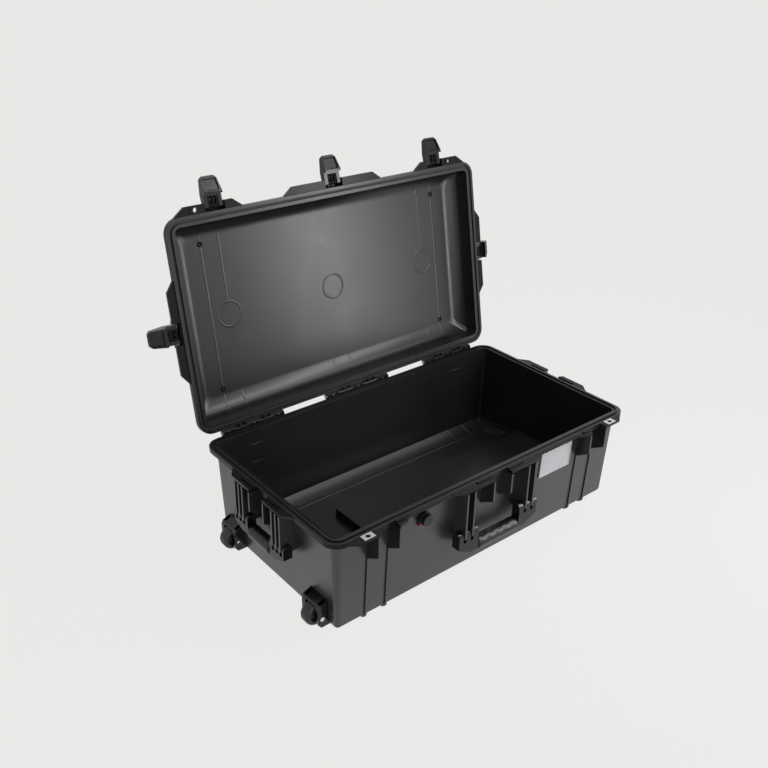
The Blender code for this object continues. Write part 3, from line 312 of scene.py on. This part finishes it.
# spreads the quarter round at the foot of the walls into the band
def shapeBand(piece, m, stand):
    s = shellPlan
    back = stand.inverted()
    for spot in piece.data.vertices:
        at = back @ spot.co
        fall = 1 - m["up"] * (at.z - m["level"]) / m["round"]
        onRamp = at.x > m["rampX"] and abs(at.y) < m["rampY"]
        if onRamp or not -s["endSlack"] < fall < 1 + s["endSlack"]:
            continue
        turn = math.asin(min(max(fall, 0.0), 1.0))
        wallIn = m["wallIn"] + m["round"] * (1 - math.cos(turn))
        inX, inY = s["halfX"] - abs(at.x), s["halfY"] - abs(at.y)
        away = m["reach"] * turn / (math.pi / 2)
        newIn = m["edgeIn"] + away
        tight = max(s["corner"] - wallIn, s["tight"])
        reachX, reachY = (wallIn + tight - inX) / tight, (wallIn + tight - inY) / tight
        offRound = abs(math.hypot(reachX, reachY) - 1)
        if min(reachX, reachY) > -s["turnSlack"] and offRound < s["roundSlack"]:
            loose = tight + m["soft"] * away
            at.x = math.copysign(s["halfX"] - newIn - loose + loose * reachX, at.x)
            at.y = math.copysign(s["halfY"] - newIn - loose + loose * reachY, at.y)
        elif abs(inX - wallIn) < s["wallSlack"] and inY > wallIn:
            at.x = math.copysign(s["halfX"] - newIn, at.x)
        elif abs(inY - wallIn) < s["wallSlack"] and inX > wallIn:
            at.y = math.copysign(s["halfY"] - newIn, at.y)
        else:
            continue
        at.z = bandSpot(m, away)[0]
        spot.co = stand @ at


# core pockets in the hinge knuckles: middle and length of each group, two pockets to a knuckle
hingeCores = {"groups": ((-0.2735, 0.149), (0.0, 0.174), (0.2735, 0.149)), "knuckles": 5, "inEnd": 0.0022,
              "baseY": (0.2170, 0.2224), "baseZ": (0.2086, 0.2126),
              "lidY": (0.2200, 0.2276), "lidZ": (0.2126, 0.2176)}


def cutCores(piece, first, spanY, spanZ):
    h = hingeCores
    cores = []
    for middle, length in h["groups"]:
        step = length / h["knuckles"]
        for i in range(first, h["knuckles"], 2):
            for half in (0, 1):
                left = middle - length / 2 + (i + half / 2) * step + h["inEnd"]
                right = left + step / 2 - 2 * h["inEnd"]
                cores.append(block((left, spanY[0], spanZ[0]), (right, spanY[1], spanZ[1])))
    core = joined(cores)
    finishWith(piece, "BOOLEAN", operation="DIFFERENCE", object=core)
    bpy.data.objects.remove(core, do_unlink=True)


def shapeBase(piece):
    shapeBand(piece, floorBand, Matrix())
    cutCores(piece, 0, hingeCores["baseY"], hingeCores["baseZ"])


def shapeLid(piece):
    shapeBand(piece, lidBand, lidOpen)
    cutCores(piece, 1, hingeCores["lidY"], hingeCores["lidZ"])


# smoother skin on the flanges and bosses, made darker and duller as painted shade, and a grained one on the outer
# walls, made lighter and glossier as painted light
innerWall = {"inset": 0.0190, "draft": 0.008 / 0.197, "rim": 0.197}
shadedRimSkin = {"inX": 0.3765, "inY": 0.2000, "low": 0.1965, "high": 0.2270}
litWallSkin = {"past": 0.0008, "under": 0.0050, "top": 0.2590}


def wallInset(z):
    return innerWall["inset"] + innerWall["draft"] * (innerWall["rim"] - z)


def skinAndLightShell(piece, back):
    r, w = shadedRimSkin, litWallSkin
    piece.data.materials.append(shadedRimBlack)
    piece.data.materials.append(litWallBlack)
    for face in piece.data.polygons:
        at = back @ face.center
        inset = wallInset(min(at.z, innerWall["rim"])) - w["past"]
        outside = max(abs(at.x) - shellPlan["halfX"], abs(at.y) - shellPlan["halfY"]) > -inset
        if r["low"] < at.z < r["high"] and (abs(at.x) > r["inX"] or abs(at.y) > r["inY"]):
            face.material_index = 1
        elif outside or not w["under"] < at.z < w["top"]:
            face.material_index = 2


# moulded copies of the solids, with their edges eased by these widths
easing = {"base_shell": 0.0008, "lid_shell": 0.0008, "front_handle_frame": 0.0030, "end_handle_frame": 0.0026,
          "wheel_housing_front": 0.0016, "wheel_housing_rear": 0.0016, "trolley_grip": 0.0012,
          "trolley_cover": 0.0005, "purge_valve_body": 0.0008, "card_holder": 0.0006,
          "trolley_button": 0.0008, "padlock_plate_base_left": 0.0002, "padlock_plate_base_right": 0.0002}
latchEase = 0.0014
easeForm = {"weld": 0.00001, "flat": 0.6, "sharp": 38, "wide": 0.002, "segments": 2, "wideSegments": 4,
            "weight": 100}
for name in nodes:
    if name.startswith("latch_") and not name.startswith("latch_pin"):
        easing[name] = latchEase
shaping = {"base_shell": shapeBase, "lid_shell": shapeLid}


def easedCopy(name, width):
    m = easeForm
    source = nodes[name]
    piece = source.copy()
    piece.data = source.data.copy()
    piece.name = name + "_moulded"
    piece.parent = None
    for key in list(piece.keys()):
        del piece[key]
    bpy.context.scene.collection.objects.link(piece)
    editAll(piece)
    bpy.ops.mesh.remove_doubles(threshold=m["weld"])
    bpy.ops.object.mode_set(mode="OBJECT")
    if name in shaping:
        shaping[name](piece)
    editAll(piece)
    bpy.ops.mesh.dissolve_limited(angle_limit=math.radians(m["flat"]))
    bpy.ops.object.mode_set(mode="OBJECT")
    sharp = math.radians(m["sharp"])
    segments = m["segments"] if width < m["wide"] else m["wideSegments"]
    finishWith(piece, "BEVEL", width=width, segments=segments, limit_method="ANGLE", angle_limit=sharp)
    bpy.ops.object.shade_smooth_by_angle(angle=sharp)
    finishWith(piece, "WEIGHTED_NORMAL", weight=m["weight"], keep_sharp=True)  # evens the long flat walls
    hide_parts(name)
    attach(piece, bodyOf[name])
    return piece


moulded = {name: easedCopy(name, width) for name, width in easing.items()}
skinAndLightShell(moulded["base_shell"], Matrix())
skinAndLightShell(moulded["lid_shell"], lidOpen.inverted())
print("moulded pieces:", len(moulded))


# places a new piece, eases its edges and gives it its finish and its body
settleForm = {"segments": 2, "sharp": 35, "smooth": 40}


def settle(piece, name, body, finish, ease=0.0, move=None, smooth=settleForm["smooth"]):
    m = settleForm
    piece.name = name
    piece.data.name = name
    pick(piece)
    if move:
        piece.matrix_world = move @ piece.matrix_world
    bpy.ops.object.transform_apply(location=True, rotation=True, scale=True)
    if ease:
        finishWith(piece, "BEVEL", width=ease, segments=m["segments"], limit_method="ANGLE",
                   angle_limit=math.radians(m["sharp"]))
    bpy.ops.object.shade_smooth_by_angle(angle=math.radians(smooth))
    piece.data.materials.clear()
    piece.data.materials.append(finish)
    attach(piece, body)


# marks that the mould leaves inside the shells, as fine raised lines
ridge = {"half": 0.0021, "proud": 0.00022, "root": 0.00008, "across": 9, "thick": 0.0006, "endShare": 0.25,
         "smooth": 60, "bandSteps": 12, "bandStart": 0.03}


# path gives the places along the line and the way out of the surface there
def fineLine(path, side, name, body, move=None, tall=1.0):
    m = ridge
    rows, count = len(path), m["across"]
    bareStart()
    bpy.ops.mesh.primitive_grid_add(x_subdivisions=count - 1, y_subdivisions=rows - 1, size=1.0)
    strip = bpy.context.active_object
    for spot in strip.data.vertices:
        across = round((spot.co.x + 0.5) * (count - 1))
        row = round((spot.co.y + 0.5) * (rows - 1))
        u = 2 * across / (count - 1) - 1
        at, out = path[row]
        taper = m["endShare"] if row in (0, rows - 1) else 1.0
        lift = m["proud"] * tall * taper * 0.5 * (1 + math.cos(math.pi * u)) - m["root"]
        spot.co = Vector(at) + Vector(side) * (u * m["half"]) + Vector(out) * lift
    finishWith(strip, "SOLIDIFY", thickness=m["thick"], offset=0)
    editAll(strip)
    bpy.ops.mesh.normals_make_consistent(inside=False)
    bpy.ops.object.mode_set(mode="OBJECT")
    settle(strip, name, body, shellBlack, move=move, smooth=m["smooth"])


# path down the band at x, on the front side or the back one
def bandLine(m, x, side):
    path = []
    for share in between(ridge["bandStart"], 1.0, ridge["bandSteps"]):
        away = m["reach"] * share
        z, tilt = bandSpot(m, away)
        out = (0, -side * math.sin(tilt), m["up"] * math.cos(tilt))
        path.append(((x, side * (shellPlan["halfY"] - m["edgeIn"] - away), z), out))
    return path


lidMarks = {"rings": (-0.262, 0.0, 0.262), "ringRadius": 0.0265, "ringBead": 0.0036, "ringTall": 0.0022,
            "ringSunk": 0.00165, "lines": (-0.304, -0.262, 0.262, 0.304), "short": (-0.022, 0.022),
            "dots": ((-0.304, -0.152), (0.304, -0.152), (-0.304, 0.152), (0.304, 0.152)),
            "dotRadius": 0.0036, "dotBead": 0.0022, "dotFlat": 0.8,
            "ringSides": (72, 32), "dotSides": (36, 12)}


def flatRing(place, radius, bead, flat, sides):
    bareStart()
    bpy.ops.mesh.primitive_torus_add(location=place, major_radius=radius, minor_radius=bead,
                                     major_segments=sides[0], minor_segments=sides[1])
    piece = bpy.context.active_object
    piece.scale = (1, 1, flat)
    return piece


def lidMark():
    m = lidMarks
    ceiling = lidBand["level"]
    for i, x in enumerate(m["rings"]):
        place, flat = (x, 0, ceiling + m["ringSunk"]), m["ringTall"] / m["ringBead"]
        ring = flatRing(place, m["ringRadius"], m["ringBead"], flat, m["ringSides"])
        settle(ring, f"lid_gate_ring_{i}", "lid", shellBlack, move=lidOpen)
    for i, x in enumerate(m["lines"]):
        path = bandLine(lidBand, x, -1)
        if x in m["rings"]:  # stops at the ring and starts again on the band by the hinge
            path.append(((x, -m["ringRadius"] - m["ringBead"], ceiling), (0, 0, -1)))
            fineLine(bandLine(lidBand, x, 1), (1, 0, 0), f"lid_rib_line_{i}_foot", "lid", move=lidOpen)
        else:
            path += bandLine(lidBand, x, 1)[::-1]
        fineLine(path, (1, 0, 0), f"lid_rib_line_{i}", "lid", move=lidOpen)
    for i, x in enumerate(m["short"]):
        fineLine(bandLine(lidBand, x, 1), (1, 0, 0), f"lid_short_line_{i}", "lid", move=lidOpen)
    for i, (x, y) in enumerate(m["dots"]):
        dot = flatRing((x, y, ceiling), m["dotRadius"], m["dotBead"], m["dotFlat"], m["dotSides"])
        settle(dot, f"lid_boss_dot_{i}", "lid", shadedLinkBlack, move=lidOpen)


lidMark()

baseMarks = {"rungs": (0.094, 0.133, 0.175), "rungX": (0.268, 0.302),
             "endLines": (-0.076, -0.063, -0.050, -0.024, 0.024, 0.050, 0.063, 0.076), "endZ": (0.118, 0.199),
             "ribs": (-0.307, -0.259, 0.259, 0.307), "run": 0.016, "footTurn": 0.017, "footEnd": 0.098,
             "tall": 3.2, "wallSteps": 6, "sideSteps": 16, "endSteps": 4}


def baseMark():
    m, tall = baseMarks, baseMarks["tall"]
    halfX, halfY = shellPlan["halfX"], shellPlan["halfY"]
    for side, label in ((-1, "left"), (1, "right")):
        for i, z in enumerate(m["rungs"]):
            along = between(*m["rungX"], m["wallSteps"])
            path = [((side * x, halfY - wallInset(z), z), (0, -1, 0)) for x in along]
            fineLine(path, (0, 0, 1), f"wall_rung_line_{i}_{label}", "base", tall=tall)
    for i, y in enumerate(m["endLines"]):
        upright = between(*m["endZ"], m["wallSteps"])
        path = [((halfX - wallInset(z), y, z), (-1, 0, 0)) for z in upright]
        fineLine(path, (0, 1, 0), f"wall_tower_line_{i}", "base", tall=tall)
    for i, x in enumerate(m["ribs"]):
        for side, label in ((-1, "front"), (1, "back")):
            path = bandLine(floorBand, x, side)
            path.append(((x, path[-1][0][1] - side * m["run"], floorBand["level"]), (0, 0, 1)))
            fineLine(path, (1, 0, 0), f"floor_rib_line_{i}_{label}", "base", tall=tall)
    # foot of the sloped band, along the sides and beside the platform
    foot, level = floorBand["edgeIn"] + floorBand["reach"], floorBand["level"]
    footX, footY = halfX - foot, halfY - foot
    reachX, reachY = footX - m["footTurn"], footY - m["footTurn"]
    for side, label in ((-1, "front"), (1, "back")):
        along = between(-reachX, reachX, m["sideSteps"])
        path = [((x, side * footY, level), (0, 0, 1)) for x in along]
        fineLine(path, (0, 1, 0), f"floor_edge_line_{label}", "base", tall=tall)
        for end, tip in ((-1, "left"), (1, "right")):
            inward = between(m["footEnd"], reachY, m["endSteps"])
            path = [((end * footX, side * y, level), (0, 0, 1)) for y in inward]
            fineLine(path, (1, 0, 0), f"floor_edge_line_{label}_{tip}", "base", tall=tall)


baseMark()
print("mould marks done")

# inner link in the neck of each latch, in the darkest, dullest black as painted shade, with the way each latch
# faces
latchLink = {"half": 0.0113, "low": -0.0190, "high": 0.0045, "back": -0.0022, "front": 0.0008,
             "barrel": 0.0048, "fingers": (-0.0084, 0.0, 0.0084), "fingerHalf": 0.0023, "fingerFront": 0.0047,
             "ease": 0.0005, "sides": 32}
latchFacing = {"front_left": 0, "front_centre": 0, "front_right": 0, "wheel_end": -90, "trolley_end": 90}


def dressLatch(place, facing):
    m = latchLink
    turning = joint[f"latch_{place}_hinge"]
    closing = math.radians(turning["range_deg"][0])
    bareStart()
    bpy.ops.mesh.primitive_cylinder_add(vertices=m["sides"], radius=m["barrel"], depth=2 * m["half"],
                                        rotation=(0, math.pi / 2, 0))
    barrel = bpy.context.active_object
    pieces = [barrel, block((-m["half"], m["back"], m["low"]), (m["half"], m["front"], m["high"]))]
    for x in m["fingers"]:
        left, right = x - m["fingerHalf"], x + m["fingerHalf"]
        pieces.append(block((left, m["back"], m["low"]), (right, m["fingerFront"], 0.0)))
    link = joined(pieces)
    stand = (Matrix.Translation(turning["pos_m"]) @ Matrix.Rotation(openAngle, 4, "X")
             @ Matrix.Rotation(math.radians(facing), 4, "Z") @ Matrix.Rotation(closing, 4, "X"))
    settle(link, f"latch_link_{place}", bodyOf[f"latch_{place}"], shadedLinkBlack,
           ease=m["ease"], move=stand)


for place, facing in latchFacing.items():
    dressLatch(place, facing)
print("latch links done")

# sealing ring of the valve, with its vent tab below
valveSeal = {"radius": 0.0128, "thick": 0.0015, "lean": 2.325, "tabAt": 238, "tabOut": 0.0150,
             "tab": (0.0060, 0.0090, 0.0058), "ease": 0.0006, "sides": 48}


def dressSeal():
    m = valveSeal
    low, high = (Vector(c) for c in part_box("purge_valve_seal"))
    bareStart()
    bpy.ops.mesh.primitive_cylinder_add(vertices=m["sides"], radius=m["radius"], depth=m["thick"])
    ring = bpy.context.active_object
    half = [e / 2 for e in m["tab"]]
    tab = block([-h for h in half], half)
    turn = Matrix.Rotation(math.radians(m["tabAt"]), 4, "Z")
    tab.data.transform(turn @ Matrix.Translation((m["tabOut"], 0, half[2] - m["thick"] / 2)))
    piece = joined([ring, tab])
    stand = (Matrix.Translation((low + high) / 2) @ Matrix.Rotation(math.radians(m["lean"]), 4, "X")
             @ Matrix.Rotation(math.pi / 2, 4, "X"))
    settle(piece, "purge_valve_seal_moulded", bodyOf["purge_valve_seal"], ringRed,
           ease=m["ease"], move=stand)
    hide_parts("purge_valve_seal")


dressSeal()

# soft grips with finger swells, and the axis that each lies along
gripForm = {"front_handle_grip": {"swells": 5, "long": 0}, "end_handle_grip": {"swells": 4, "long": 1}}
gripSwell = {"thick": 0.0150, "tall": 0.0150, "valley": 0.93, "under": 0.99, "cutsEach": 4, "levels": 3,
             "smooth": 60}


def dressGrip(name):
    form, g = gripForm[name], gripSwell
    low, high = (Vector(c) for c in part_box(name))
    along = (high - low)[form["long"]] / 2
    piece = block((-along, -g["thick"], -g["tall"]), (along, g["thick"], g["tall"]))
    editAll(piece)
    bpy.ops.mesh.select_mode(type="EDGE")
    bpy.ops.mesh.select_all(action="DESELECT")
    bpy.ops.object.mode_set(mode="OBJECT")
    for edge in piece.data.edges:
        ends = [piece.data.vertices[v].co for v in edge.vertices]
        edge.select = abs(ends[0].x - ends[1].x) > along
    bpy.ops.object.mode_set(mode="EDIT")
    bpy.ops.mesh.subdivide(number_cuts=form["swells"] * g["cutsEach"] - 1)
    bpy.ops.object.mode_set(mode="OBJECT")
    for spot in piece.data.vertices:
        wave = 0.5 - 0.5 * math.cos(math.tau * form["swells"] * (spot.co.x + along) / (2 * along))
        least = g["valley"] if spot.co.z > 0 else g["under"]
        spot.co.z *= least + (1 - least) * wave
    finishWith(piece, "SUBSURF", levels=g["levels"], render_levels=g["levels"])
    turn = Matrix.Rotation(math.pi / 2, 4, "Z") if form["long"] else Matrix()
    settle(piece, name + "_moulded", bodyOf[name], gripRubber,
           move=Matrix.Translation((low + high) / 2) @ turn, smooth=g["smooth"])
    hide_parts(name)


for name in gripForm:
    dressGrip(name)
print("seal and grips done")

# wheels: round-shouldered tyre on a dished hub
wheelSizes = {"radius": 0.024, "width": 0.026, "bore": 0.018, "shoulder": 0.0075, "hubGap": 0.0004,
              "hubIn": 0.0005, "hubRim": 0.0028, "hubDish": 0.0055, "bossRadius": 0.0085, "bossRise": 0.0045,
              "axleBore": 0.0035, "near": 0.0002, "hubEase": 0.0005, "smooth": 50, "sides": 72,
              "shoulderSteps": 7, "endFacing": 0.9}


def wheelStart(radius, width):
    bareStart()
    bpy.ops.mesh.primitive_cylinder_add(vertices=wheelSizes["sides"], radius=radius, depth=width)
    piece = bpy.context.active_object
    bpy.ops.object.mode_set(mode="EDIT")
    bpy.ops.mesh.select_mode(type="FACE")
    bpy.ops.mesh.select_all(action="DESELECT")
    bpy.ops.object.mode_set(mode="OBJECT")
    for face in piece.data.polygons:
        face.select = abs(face.normal.z) > wheelSizes["endFacing"]
    bpy.ops.object.mode_set(mode="EDIT")
    return piece


def openBore():
    bpy.ops.mesh.delete(type="FACE")
    bpy.ops.mesh.select_mode(type="EDGE")
    bpy.ops.mesh.select_all(action="DESELECT")
    bpy.ops.mesh.select_non_manifold()
    bpy.ops.mesh.bridge_edge_loops()


def dressTyre(end, stand):
    w = wheelSizes
    tyre = wheelStart(w["radius"], w["width"])
    bpy.ops.mesh.inset(thickness=w["radius"] - w["bore"], use_individual=True)
    openBore()
    bpy.ops.mesh.select_all(action="DESELECT")
    bpy.ops.object.mode_set(mode="OBJECT")
    for edge in tyre.data.edges:
        ends = [tyre.data.vertices[v].co for v in edge.vertices]
        onTread = all(abs(e.xy.length - w["radius"]) < w["near"] for e in ends)
        edge.select = onTread and abs(ends[0].z - ends[1].z) < w["near"]
    bpy.ops.object.mode_set(mode="EDIT")
    bpy.ops.mesh.bevel(offset=w["shoulder"], segments=w["shoulderSteps"], profile=0.5, affect="EDGES",
                       clamp_overlap=False)
    bpy.ops.object.mode_set(mode="OBJECT")
    settle(tyre, f"wheel_tyre_{end}_moulded", f"wheel_{end}", tyreRubber, move=stand,
           smooth=w["smooth"])
    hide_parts(f"wheel_tyre_{end}")


def dressHub(end, stand):
    w = wheelSizes
    radius = w["bore"] - w["hubGap"]
    hub = wheelStart(radius, w["width"] - 2 * w["hubIn"])
    bpy.ops.mesh.inset(thickness=w["hubRim"], use_individual=True)
    bpy.ops.mesh.extrude_region_shrink_fatten(TRANSFORM_OT_shrink_fatten={"value": -w["hubDish"]})
    bpy.ops.mesh.inset(thickness=radius - w["hubRim"] - w["bossRadius"], use_individual=True)
    bpy.ops.mesh.extrude_region_shrink_fatten(TRANSFORM_OT_shrink_fatten={"value": w["bossRise"]})
    bpy.ops.mesh.inset(thickness=w["bossRadius"] - w["axleBore"], use_individual=True)
    openBore()
    bpy.ops.object.mode_set(mode="OBJECT")
    settle(hub, f"wheel_hub_{end}_moulded", f"wheel_{end}", greyNylon, ease=w["hubEase"],
           move=stand)
    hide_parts(f"wheel_hub_{end}")


for end in ("front", "rear"):
    centre = Vector(joint[f"wheel_{end}_spin"]["pos_m"])
    stand = Matrix.Translation(centre) @ Matrix.Rotation(math.pi / 2, 4, "X")
    dressTyre(end, stand)
    dressHub(end, stand)
print("wheels done")

# pale paper floor, which the camera sees evenly lit but for the shadow
studio = {"floorZ": -0.0082, "floorSize": 60.0, "paper": (0.838, 0.838, 0.822, 1.0), "rough": 0.9,
          "keep": 0.95, "worldLevel": 0.19, "lampTint": (1.0, 0.99, 1.03)}
lamps = {"key": {"power": 15.2, "wide": 0.27, "tall": 1.9,
                 "place": (0.72, -0.80, 0.95), "aim": (0.0, 0.29, 0.60)},
         "fill": {"power": 15.0, "wide": 2.2, "tall": 1.2,
                  "place": (-0.75, -2.1, 1.05), "aim": (-0.1, 0.0, 0.1)},
         "top": {"power": 14.0, "wide": 1.9, "tall": 1.4,
                 "place": (0.85, -0.35, 2.4), "aim": (0.0, 0.0, 0.1)}}

bareStart()
bpy.ops.mesh.primitive_plane_add(size=studio["floorSize"], location=(0, 0, studio["floorZ"]))
floor = bpy.context.active_object
floor.name = "studioFloor"
paper = Finish("studioPaper", **{"Roughness": studio["rough"], "Base Color": studio["paper"]})
seen = paper.node("LightPath", out="Is Camera Ray")
shine = Wire(paper.tree, seen.socket.node.outputs["Is Glossy Ray"])
through = Wire(paper.tree, seen.socket.node.outputs["Is Transmission Ray"])
glow = paper.node("Emission", None, {"Color": studio["paper"], "Strength": 1.0})
share = (seen + through) * studio["keep"] + shine
mixed = paper.node("MixShader", None, {0: share, 1: Wire(paper.tree, paper.shader.outputs[0]), 2: glow})
paper.tree.links.new(mixed.socket, paper.tree.nodes["Material Output"].inputs["Surface"])
floor.data.materials.append(paper.material)

# the same pale colour behind, and a lower level of light from it
world = bpy.data.worlds.new("studioWorld")
bpy.context.scene.world = world
world.use_nodes = True
tree = world.node_tree
sky = tree.nodes["Background"]
sky.inputs["Color"].default_value = studio["paper"]
rays = tree.nodes.new("ShaderNodeLightPath")
seen = Wire(tree, rays.outputs["Is Camera Ray"])
shine = Wire(tree, rays.outputs["Is Glossy Ray"])
through = Wire(tree, rays.outputs["Is Transmission Ray"])
level = (seen + shine + through) * (1 - studio["worldLevel"]) + studio["worldLevel"]
tree.links.new(level.socket, sky.inputs["Strength"])

for label, m in lamps.items():
    bpy.ops.object.light_add(type="AREA", location=m["place"])
    lamp = bpy.context.active_object
    lamp.name = label + "Light"
    lamp.data.energy = m["power"]
    lamp.data.shape = "RECTANGLE"
    lamp.data.size = m["wide"]
    lamp.data.size_y = m["tall"]
    lamp.data.color = studio["lampTint"]
    lamp.visible_camera = False
    lamp.rotation_mode = "QUATERNION"
    lamp.rotation_quaternion = (Vector(m["aim"]) - Vector(m["place"])).to_track_quat("-Z", "Y")

# the photograph's camera
view = {"place": (-1.132, -1.2299, 1.1693), "azimuth": -39.758, "elevation": 27.391, "roll": 1.109,
        "lens": 43.28, "sensor": 36.0}
az, el, roll = (math.radians(view[k]) for k in ("azimuth", "elevation", "roll"))
back = Vector((math.sin(az) * math.cos(el), -math.cos(az) * math.cos(el), math.sin(el)))
right = Vector((math.cos(az), math.sin(az), 0))
up = back.cross(right)
turnRight = math.cos(roll) * right + math.sin(roll) * up
turnUp = -math.sin(roll) * right + math.cos(roll) * up
lens = bpy.data.cameras.new("photoCamera")
lens.sensor_width = view["sensor"]
lens.lens = view["lens"]
camera = bpy.data.objects.new("photoCamera", lens)
turned = Matrix((turnRight, turnUp, back)).transposed().to_4x4()
camera.matrix_world = Matrix.Translation(view["place"]) @ turned
bpy.context.scene.collection.objects.link(camera)
bpy.context.scene.camera = camera
bpy.context.scene.view_settings.view_transform = "Standard"
print("studio set")
